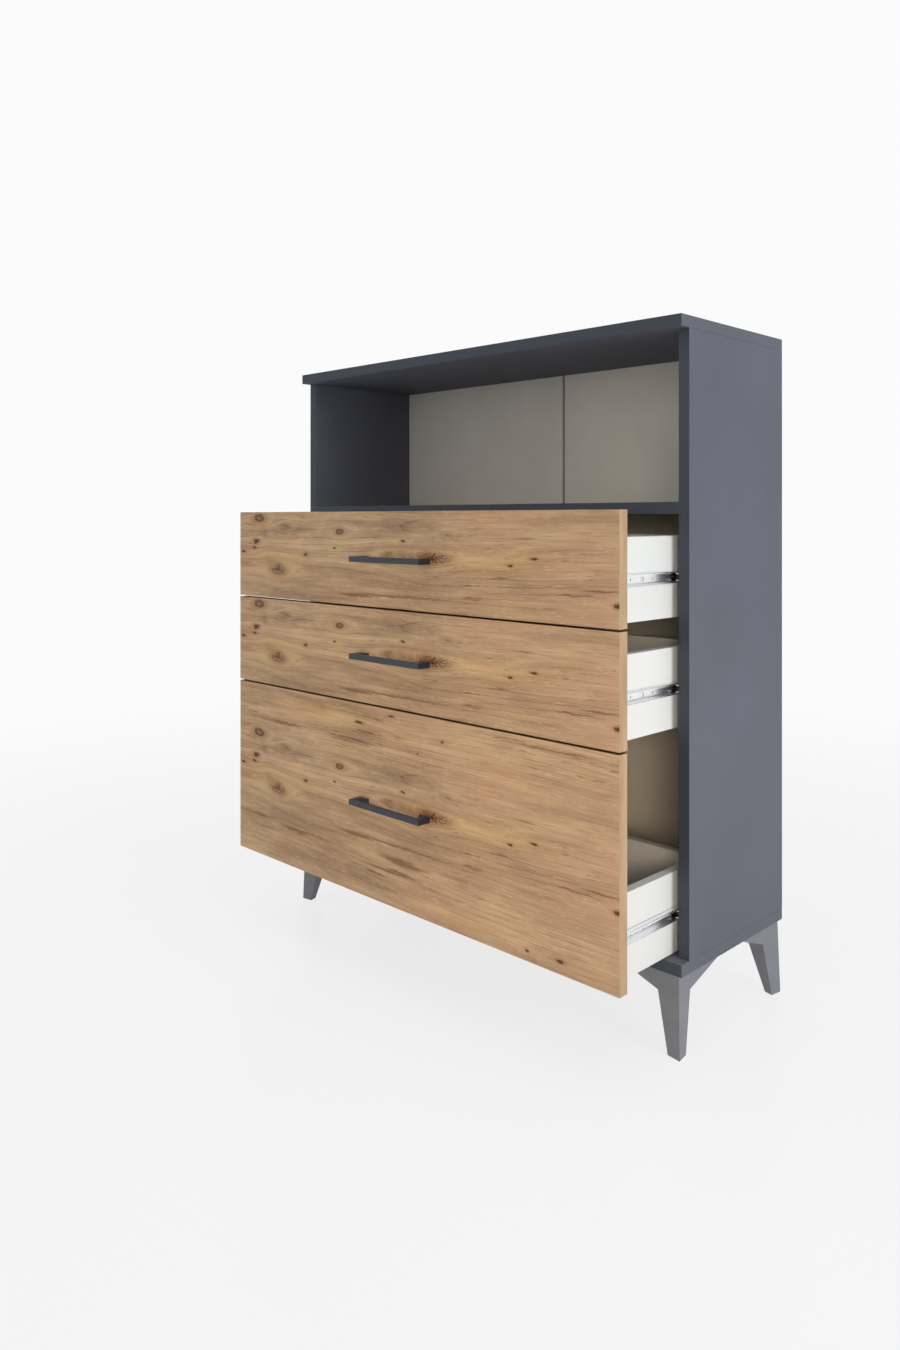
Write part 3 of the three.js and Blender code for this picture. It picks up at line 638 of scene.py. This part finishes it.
# %% Anthracite melamine
REAR_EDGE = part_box("top_panel")[1][1]


def anthracite_melamine():
    material, tree, shader = new_finish("anthracite_melamine")
    place, normal = whereabouts(tree)
    press = noise(tree, place, (1500, 1500, 1500), 1.0, 2.0, 0.6)
    slow = noise(tree, place, (5, 5, 5), 7.0, 2.0, 0.5)
    colour = tones(tree, slow, srgb(91, 94, 104), srgb(97, 100, 111))
    flecks = tones(tree, noise(tree, place, (700, 700, 700), 9.0, 2.0, 0.7),
                   srgb(176, 176, 178), srgb(200, 200, 200))
    colour = blend(tree, 0.7, colour, flecks, "SOFT_LIGHT")
    # Partly painted shade: forward-facing faces are darkened beyond the band's own tone.
    front_band_and_shade = facing(tree, parts_of(tree, normal)[1], -1)
    colour = blend(tree, front_band_and_shade, colour, srgb(61, 67, 76))
    chips, chip_height = chipboard(tree, place)
    at_rear = span(tree, parts_of(tree, place)[1], REAR_EDGE - 0.0012, REAR_EDGE - 0.0006)
    raw = calc(tree, "MULTIPLY", facing(tree, parts_of(tree, normal)[1]), at_rear)
    matt = span(tree, press, 0.3, 0.7, 0.62, 0.74)
    dullness = calc(tree, "MAXIMUM", matt, calc(tree, "MULTIPLY", raw, 0.85))
    coat(tree, shader, blend(tree, raw, colour, chips), dullness, shine=0.35)
    height = calc(tree, "MULTIPLY_ADD", calc(tree, "MULTIPLY", chip_height, raw), 6.0, press)
    bump(tree, shader, height, 0.00005, 0.5)
    return material


anthracite = anthracite_melamine()
print("rear edges at Y", round(REAR_EDGE, 4))

# %% [markdown]
# ## The white boards of the drawers
# The drawer boxes are white melamine with a fine pearl grain. A pure white would clip under the
# studio light and lose its shading, so the white is a very light grey, as white board is when it
# is measured.

# %% White melamine
def white_melamine():
    material, tree, shader = new_finish("white_melamine")
    place, _ = whereabouts(tree)
    pearl = noise(tree, place, (1100, 1100, 1100), 2.0, 3.0, 0.6)
    slow = noise(tree, place, (6, 6, 6), 4.0, 2.0, 0.5)
    colour = tones(tree, slow, srgb(218, 222, 221), srgb(224, 228, 227))
    coat(tree, shader, colour, span(tree, pearl, 0.3, 0.7, 0.34, 0.46), shine=0.35)
    bump(tree, shader, pearl, 0.00004, 0.5)
    return material


white_board = white_melamine()
print("white board:", white_board.name)

# %% [markdown]
# ## The thin boards
# The back and the drawer bottoms are hardboard, 3 mm thick. One face carries a foil and the other
# is the bare pressed fibre, brown and a little woolly, which is what the chest shows from behind
# and from below. One recipe serves both boards: it is given the foil's two tones, and the axis and
# direction that the bare face looks along.

# %% Hardboard with one foiled face
def foiled_hardboard(name, foil_dark, foil_light, axis, side):
    material, tree, shader = new_finish(name)
    place, normal = whereabouts(tree)
    foil = tones(tree, noise(tree, place, (9, 9, 9), 3.0, 4.0, 0.6), foil_dark, foil_light)
    grain = noise(tree, place, (900, 900, 900), 5.0, 3.0, 0.6)
    fibre = noise(tree, place, (260, 260, 260), 8.0, 5.0, 0.7)
    bare = tones(tree, fibre, srgb(132, 102, 74), srgb(156, 124, 92), srgb(176, 144, 110))
    bare_face = facing(tree, parts_of(tree, normal)[axis], side)
    colour = blend(tree, bare_face, foil, bare)
    coat(tree, shader, colour, span(tree, bare_face, 0.0, 1.0, 0.45, 0.8), shine=0.3)
    height = calc(tree, "MULTIPLY_ADD", calc(tree, "MULTIPLY", fibre, bare_face), 3.0, grain)
    bump(tree, shader, height, 0.00006, 0.6)
    return material


back_board = foiled_hardboard("back_board", srgb(212, 209, 197), srgb(220, 217, 205), axis=1, side=1)
drawer_bottom = foiled_hardboard("drawer_bottom", srgb(226, 225, 220), srgb(233, 232, 228), axis=2, side=-1)
print("thin boards:", back_board.name, drawer_bottom.name)

# %% [markdown]
# ## Moulded and drawn plastic
# The legs are moulded plastic. The mould was spark eroded, so the surface is a fine even grain
# with a dull shine that brightens along edges. The strip that joins the two back boards is drawn
# through a die, so its faint lines run upright.

# %% Moulded legs and the joint strip
def moulded_plastic():
    material, tree, shader = new_finish("moulded_leg_plastic")
    place, _ = whereabouts(tree)
    grain = noise(tree, place, (1300, 1300, 1300), 6.0, 4.0, 0.7)
    flow = noise(tree, place, (14, 14, 30), 2.0, 3.0, 0.5)
    colour = tones(tree, flow, srgb(115, 119, 126), srgb(122, 126, 133))
    coat(tree, shader, colour, span(tree, grain, 0.3, 0.7, 0.4, 0.56), shine=0.45)
    bump(tree, shader, grain, 0.00008, 0.6)
    return material


def drawn_plastic():
    material, tree, shader = new_finish("joint_strip_plastic")
    place, _ = whereabouts(tree)
    lines = noise(tree, place, (1600, 1600, 12), 3.0, 2.0, 0.6)
    colour = tones(tree, lines, srgb(122, 119, 111), srgb(132, 129, 121))
    coat(tree, shader, colour, span(tree, lines, 0.3, 0.7, 0.38, 0.5))
    bump(tree, shader, lines, 0.00005, 0.5)
    return material


leg_plastic = moulded_plastic()
strip_plastic = drawn_plastic()
print("plastics:", leg_plastic.name, strip_plastic.name)

# %% [markdown]
# ## The handles' powder coat
# Powder melts on the warm metal and sets with a soft orange peel. The bumps are shallow and about
# half a millimetre across, over a satin blue-grey paint.

# %% Powder coat
def powder_coat():
    material, tree, shader = new_finish("anthracite_powder_coat")
    place, _ = whereabouts(tree)
    peel = noise(tree, place, (1700, 1700, 1700), 5.0, 1.0, 0.5)
    speck = noise(tree, place, (420, 420, 420), 8.0, 3.0, 0.6)
    colour = tones(tree, speck, srgb(43, 48, 56), srgb(49, 54, 62))
    coat(tree, shader, colour, span(tree, peel, 0.3, 0.7, 0.34, 0.42), metal=0.25)
    bump(tree, shader, peel, 0.00003, 0.5)
    return material


handle_paint = powder_coat()
print("handle paint:", handle_paint.name)

# %% [markdown]
# ## Zinc and steel
# The channels and rails are rolled from zinc-plated strip. Rolling leaves fine lines along the
# profile, and the plating has a cold, slightly cloudy shine. Holes are punched through the plated
# strip, so their walls show bare grey steel: these are the faces inside the web's thickness that
# don't look outward. The tab that stops each rail's cage carries a black rubber buffer, found by
# its place inside the profile. The ball cages are darker pressed steel. Their balls are polished:
# they stand out past the cage towards the side panel, so the distance from the middle of the chest
# tells balls from cage.

# %% Zinc plating
def plating(tree, shader, place, lines_along):
    """Zinc with fine lines: drawn out along Y where the strip was rolled, short where turned."""
    lines = noise(tree, place, (900, lines_along, 900), 2.0, 3.0, 0.6)
    cloud = noise(tree, place, (60, 25, 60), 4.0, 3.0, 0.6)
    colour = tones(tree, cloud, srgb(243, 245, 248), srgb(250, 250, 250))
    bump(tree, shader, lines, 0.00003, 0.4)
    return colour, span(tree, lines, 0.3, 0.7, 0.22, 0.3)


def turned_zinc(name):
    material, tree, shader = new_finish(name)
    place, _ = whereabouts(tree)
    colour, dullness = plating(tree, shader, place, 900)
    coat(tree, shader, colour, dullness, metal=1.0)
    return material


screw_zinc = turned_zinc("screw_zinc")
print("screw finish:", screw_zinc.name)

# %% The rubber buffers on the rails' stop tabs
STEEL = 0.001
MARGIN = 0.00005
TAB_HALF_HEIGHT = 0.0033


def buffer_mask(tree, place):
    """1 on the stop tab of a rail: inside its web and within the tab's height."""
    out, _, up = parts_of(tree, place)[:3]
    away = None
    for drawer in DRAWERS:
        low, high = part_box(f"{drawer}_right_rail")
        gap = calc(tree, "ABSOLUTE", calc(tree, "SUBTRACT", up, (low[2] + high[2]) / 2))
        away = calc(tree, "MINIMUM", away, gap) if away else gap
    web = high[0] - STEEL
    inside_web = span(tree, calc(tree, "ABSOLUTE", out), web - MARGIN, web - 3 * MARGIN)
    on_tab = span(tree, away, TAB_HALF_HEIGHT + 2 * MARGIN, TAB_HALF_HEIGHT - 2 * MARGIN)
    return calc(tree, "MULTIPLY", inside_web, on_tab)


print("a tab is", 2 * TAB_HALF_HEIGHT, "m high")

# %% Rolled zinc with sheared holes and rubber buffers
CHANNEL_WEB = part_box("top_drawer_right_channel")[0][0] + STEEL - MARGIN


def rolled_zinc(name, buffers=False):
    material, tree, shader = new_finish(name)
    place, normal = whereabouts(tree)
    colour, dullness = plating(tree, shader, place, 6)
    out = calc(tree, "ABSOLUTE", parts_of(tree, place)[0])
    across = calc(tree, "ABSOLUTE", parts_of(tree, normal)[0])
    in_web = span(tree, out, CHANNEL_WEB, CHANNEL_WEB - 2 * MARGIN)
    sheared = calc(tree, "MULTIPLY", in_web, span(tree, across, 0.7, 0.5))
    colour = blend(tree, sheared, colour, srgb(112, 112, 116))
    metal = 1.0
    if buffers:
        rubber = buffer_mask(tree, place)
        colour = blend(tree, rubber, colour, srgb(24, 24, 25))
        dullness = calc(tree, "MULTIPLY_ADD", rubber, 0.4, dullness)
        metal = calc(tree, "SUBTRACT", 1.0, rubber)
    coat(tree, shader, colour, dullness, metal=metal)
    return material


zinc = rolled_zinc("rolled_zinc")
rail_zinc = rolled_zinc("rolled_zinc_with_buffer", buffers=True)
print("zinc:", zinc.name, rail_zinc.name, "channel web ends at X", round(CHANNEL_WEB, 4))

# %% Cages and balls
BALL_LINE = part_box("top_right_ball_cage")[1][0] - 0.0012


def cage_and_balls():
    material, tree, shader = new_finish("cage_and_balls")
    place, _ = whereabouts(tree)
    out = calc(tree, "ABSOLUTE", parts_of(tree, place)[0])
    polished = span(tree, out, BALL_LINE - 0.0003, BALL_LINE)
    smear = noise(tree, place, (300, 40, 300), 3.0, 3.0, 0.6)
    steel = tones(tree, smear, srgb(104, 106, 110), srgb(128, 130, 134))
    colour = blend(tree, polished, steel, srgb(232, 233, 235))
    coat(tree, shader, colour, span(tree, polished, 0.0, 1.0, 0.42, 0.12), metal=1.0)
    return material


cage_steel = cage_and_balls()
print("balls stand out past X", round(BALL_LINE, 4))

# %% [markdown]
# ## Dressing the solids
# Each solid gets the finish of its own piece. The name of a node says what the piece is, so one
# list of name endings does for all of them. A node that no line names would stop the script.

# %% Give every solid its finish
FINISHES = [
    ("_panel", anthracite), ("niche_shelf", anthracite),
    ("back_panel_left", back_board), ("back_panel_right", back_board),
    ("joint_strip", strip_plastic), ("_drawer_bottom", drawer_bottom),
    ("_handle", handle_paint), ("_screw_left", screw_zinc), ("_screw_right", screw_zinc),
    ("_channel", zinc), ("_rail", rail_zinc), ("_ball_cage", cage_steel),
    ("_side", white_board), ("_drawer_back", white_board),
] + [(f"{drawer}_drawer_front", oak[drawer]) for drawer in DRAWERS]
for name, solid in nodes.items():
    if name.startswith("leg_"):
        finish = leg_plastic
    else:
        finish = next(paint for ending, paint in FINISHES if name.endswith(ending))
    solid.data.materials.clear()
    solid.data.materials.append(finish)
print("dressed:", len(nodes))

# %% [markdown]
# ## Softer edges
# A real board edge is never knife sharp: the band is trimmed with a small radius that catches the
# light as a thin line. A bevel could be cut into the mesh, but the solids must keep their points,
# so a bevel modifier does it. The solids come with each triangle on its own, so a weld goes
# first, and weighted normals last, which keep the large faces flat in the shading.

# %% Round the edges
SAME_POINT = 0.000005
SHARP_FROM = math.radians(35)


def soften(solid, radius, steps=2):
    mesh = solid.data
    custom = mesh.attributes.get("custom_normal")
    if custom:
        mesh.attributes.remove(custom)
    mesh.shade_smooth()
    weld = solid.modifiers.new("weld", "WELD")
    weld.merge_threshold = SAME_POINT
    edge = solid.modifiers.new("soft_edge", "BEVEL")
    edge.width = radius
    edge.segments = steps
    edge.limit_method = "ANGLE"
    edge.angle_limit = SHARP_FROM
    edge.use_clamp_overlap = True
    shading = solid.modifiers.new("flat_faces", "WEIGHTED_NORMAL")
    shading.weight = 90
    shading.keep_sharp = False


BOARD_RADIUS = 0.0005
LEG_RADIUS = 0.0009
HANDLE_RADIUS = 0.0008
softened = 0
for name, solid in nodes.items():
    if name.startswith("leg_"):
        soften(solid, LEG_RADIUS, 3)
    elif name.endswith("_handle"):
        soften(solid, HANDLE_RADIUS, 3)
    elif not any(word in name for word in ("channel", "rail", "cage", "screw", "strip")):
        soften(solid, BOARD_RADIUS)
    else:
        continue
    softened += 1
print("softened:", softened)

# %% [markdown]
# ## Small screws
# The legs, the channels and the rails hang on chipboard screws. Only the heads are seen, so each
# piece below is a head with its short neck in the hole. A head could be a flat disc, but the
# cross recess is what makes it read as a screw. The dome is turned from a short profile, and a
# tapered cross is cut into it with a boolean. The cut leaves points a few hundredths of a
# millimetre apart, and merging them rids the mesh of slivers too thin to have a direction.

# %% Turn a dome
HEAD_SIDES = 24


def turned(profile):
    """Spin (radius, height) points about the Z axis into a closed solid."""
    bm = bmesh.new()
    rings = []
    angles = [2 * math.pi * number / HEAD_SIDES for number in range(HEAD_SIDES)]
    for radius, height in profile:
        if radius == 0:
            rings.append([bm.verts.new((0, 0, height))])
        else:
            rings.append([bm.verts.new((radius * math.cos(angle), radius * math.sin(angle), height))
                          for angle in angles])
    for low, high in zip(rings, rings[1:]):
        for i in range(HEAD_SIDES):
            j = (i + 1) % HEAD_SIDES
            corners = [low[i % len(low)], low[j % len(low)], high[j % len(high)], high[i % len(high)]]
            bm.faces.new(list(dict.fromkeys(corners)))
    bmesh.ops.recalc_face_normals(bm, faces=bm.faces)
    return bm


def as_object(bm, name):
    mesh = bpy.data.meshes.new(name)
    bm.to_mesh(mesh)
    bm.free()
    thing = bpy.data.objects.new(name, mesh)
    scene.collection.objects.link(thing)
    return thing


print("sides of a head:", HEAD_SIDES)

# %% Cut its recess
SLIVER = 0.00002
NECK_RADIUS = 0.0019
RECESS_TAPER = 0.55


def cross_cutter(reach, half_width, top, bottom):
    """A plus sign that narrows downwards."""
    outline = []
    for quarter in range(4):
        turn = Matrix.Rotation(quarter * math.pi / 2, 2)
        for point in ((half_width, half_width), (half_width, reach), (-half_width, reach)):
            outline.append(turn @ Vector(point))
    bm = bmesh.new()
    upper = [bm.verts.new((x, y, top)) for x, y in outline]
    lower = [bm.verts.new((x * RECESS_TAPER, y * RECESS_TAPER, bottom)) for x, y in outline]
    bm.faces.new(upper)
    bm.faces.new(lower)
    for i in range(len(outline)):
        j = (i + 1) % len(outline)
        bm.faces.new((upper[i], upper[j], lower[j], lower[i]))
    bmesh.ops.recalc_face_normals(bm, faces=bm.faces)
    return bm


def screw_head(name, radius, height, neck):
    profile = [(0, -neck), (NECK_RADIUS, -neck), (NECK_RADIUS, 0), (radius, 0), (radius, height * 0.35),
               (radius * 0.86, height * 0.78), (radius * 0.55, height * 0.96), (0, height)]
    head = as_object(turned(profile), name)
    cutter = as_object(cross_cutter(radius * 0.58, radius * 0.13, height * 1.2, height * 0.25), "cutter")
    cut = head.modifiers.new("recess", "BOOLEAN")
    cut.object = cutter
    cut.solver = "EXACT"
    shape = bpy.data.meshes.new_from_object(head.evaluated_get(bpy.context.evaluated_depsgraph_get()))
    bpy.data.objects.remove(head)
    bpy.data.objects.remove(cutter)
    bm = bmesh.new()
    bm.from_mesh(shape)
    bmesh.ops.remove_doubles(bm, verts=bm.verts, dist=SLIVER)
    bm.to_mesh(shape)
    bm.free()
    return shape


leg_head = screw_head("leg_screw_head", 0.004, 0.0024, 0.0028)
rail_head = screw_head("rail_screw_head", 0.0035, 0.0018, 0.0009)
channel_head = screw_head("channel_screw_head", 0.0035, 0.0015, 0.0009)
print("faces of a head:", len(leg_head.polygons))

# %% [markdown]
# The screws of one leg or one slide profile are one piece, which rides on the same body as what it
# holds. A head is turned so that its dome looks out of the hole, and each one stops at another
# angle, as screws driven by hand do. The places come from the boxes of the solids and the shares
# at which their holes were set.

# %% Drive the screws of the legs
FIRST_TWIST = 0.3
NEXT_TWIST = 0.7


def drive(name, head, places, outward, body):
    bm = bmesh.new()
    for number, place in enumerate(places):
        before = len(bm.verts)
        bm.from_mesh(head)
        bm.verts.ensure_lookup_table()
        twist = Matrix.Rotation(NEXT_TWIST * number + FIRST_TWIST, 4, "Z")
        aim = Vector(outward).to_track_quat("Z", "Y").to_matrix().to_4x4()
        bmesh.ops.transform(bm, matrix=Matrix.Translation(place) @ aim @ twist, verts=bm.verts[before:])
    piece = as_object(bm, name)
    piece.data.materials.append(screw_zinc)
    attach(piece, body)


LEG_SCREW_SHARES = (0.14, 0.38, 0.62, 0.86)
WING_LENGTH = 0.1272
FLANGE_START = 0.0124
FLANGE_THICKNESS = 0.003
LEG_INSET = 0.0031
panel_low, panel_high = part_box("bottom_panel")
for end, y_sign in (("front", 1), ("back", -1)):
    for side, x_sign in (("left", 1), ("right", -1)):
        corner = Vector((panel_low[0] + LEG_INSET if x_sign > 0 else panel_high[0] - LEG_INSET,
                         panel_low[1] if y_sign > 0 else panel_high[1],
                         panel_low[2] - FLANGE_THICKNESS))
        places = []
        for share in LEG_SCREW_SHARES:
            near = FLANGE_START + share * (WING_LENGTH - FLANGE_START)
            far = WING_LENGTH - share * (WING_LENGTH - FLANGE_START)
            along, across = (near, far) if x_sign * y_sign > 0 else (far, near)
            places.append(corner + Vector((x_sign * along, y_sign * across, 0)))
        drive(f"leg_{end}_{side}_screws", leg_head, places, (0, 0, -1), "carcass")
print("leg screws:", 4 * len(LEG_SCREW_SHARES))

# %% Drive the screws of the slides
CHANNEL_SCREW_SHARES = (0.06, 0.9)
RAIL_SCREW_SHARES = (0.14, 0.94)
for drawer in DRAWERS:
    for side, sign in (("left", -1), ("right", 1)):
        low, high = (Vector(corner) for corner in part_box(f"{drawer}_drawer_{side}_channel"))
        web = low.x + STEEL if sign > 0 else high.x - STEEL
        places = [(web, low.y + share * (high.y - low.y), (low.z + high.z) / 2)
                  for share in CHANNEL_SCREW_SHARES]
        drive(f"{drawer}_{side}_channel_screws", channel_head, places, (sign, 0, 0), f"{drawer}_drawer")
        low, high = (Vector(corner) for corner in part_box(f"{drawer}_{side}_rail"))
        web = high.x - STEEL if sign > 0 else low.x + STEEL
        places = [(web, low.y + share * (high.y - low.y), (low.z + high.z) / 2)
                  for share in RAIL_SCREW_SHARES]
        drive(f"{drawer}_{side}_rail_screws", rail_head, places, (-sign, 0, 0), "carcass")
print("slide screws:", len(DRAWERS) * 2 * (len(CHANNEL_SCREW_SHARES) + len(RAIL_SCREW_SHARES)))

# %% [markdown]
# ## Closing
# The visual model must stay inside the box of the solids.

# %% Write the sizes and finish
low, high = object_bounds()
{"cad": [list(cad_low), list(cad_high)], "visual": [list(low), list(high)]}
print("visual box:", [round(value, 4) for value in (*low, *high)])
